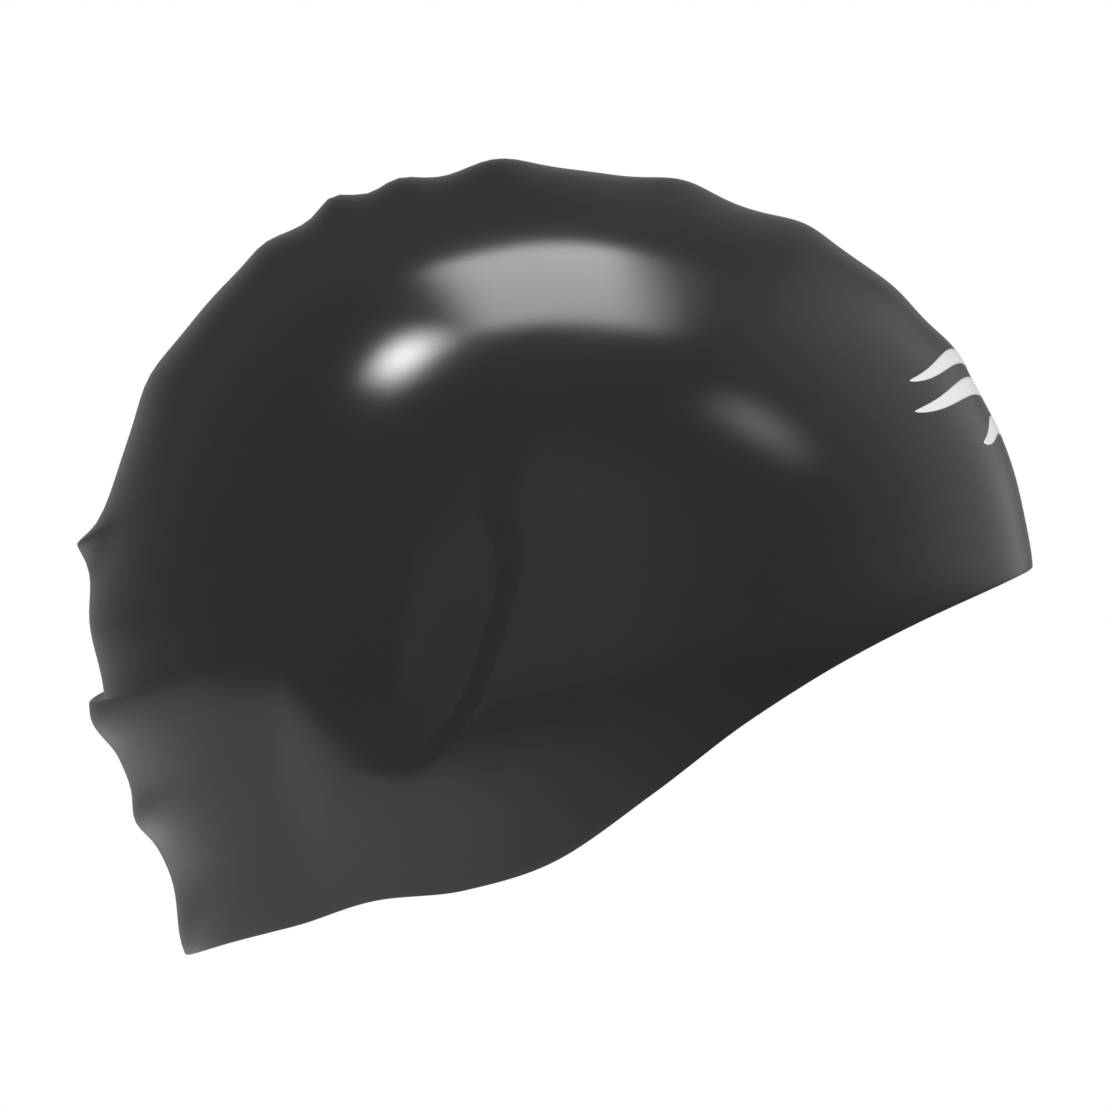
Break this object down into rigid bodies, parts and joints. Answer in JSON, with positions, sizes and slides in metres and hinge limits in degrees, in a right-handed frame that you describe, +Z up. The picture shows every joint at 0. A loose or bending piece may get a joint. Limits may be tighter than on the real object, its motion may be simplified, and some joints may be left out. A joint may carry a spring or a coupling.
{
  "type": "swim cap",
  "caption": "Dome-shaped silicone swim cap in its worn form, open below, covering the ears, with soft waves over the crown and pinched folds at the back",
  "frame": {"origin": "the inner face of the crown, straight above the middle of the form, where the cap sits on the top of the head", "axes": "+X to the forehead, +Y to the wearer's left, +Z up with the head upright; the cap is symmetric about the XZ plane"},
  "size_m": [0.2006, 0.1644, 0.1669],
  "materials": {
    "black_silicone": "satin moulded silicone, fine grain",
    "silver_print": "satin screen print on silicone"
  },
  "bodies": {
    "root": {"cap_shell": "black_silicone"}
  },
  "joints": []
}
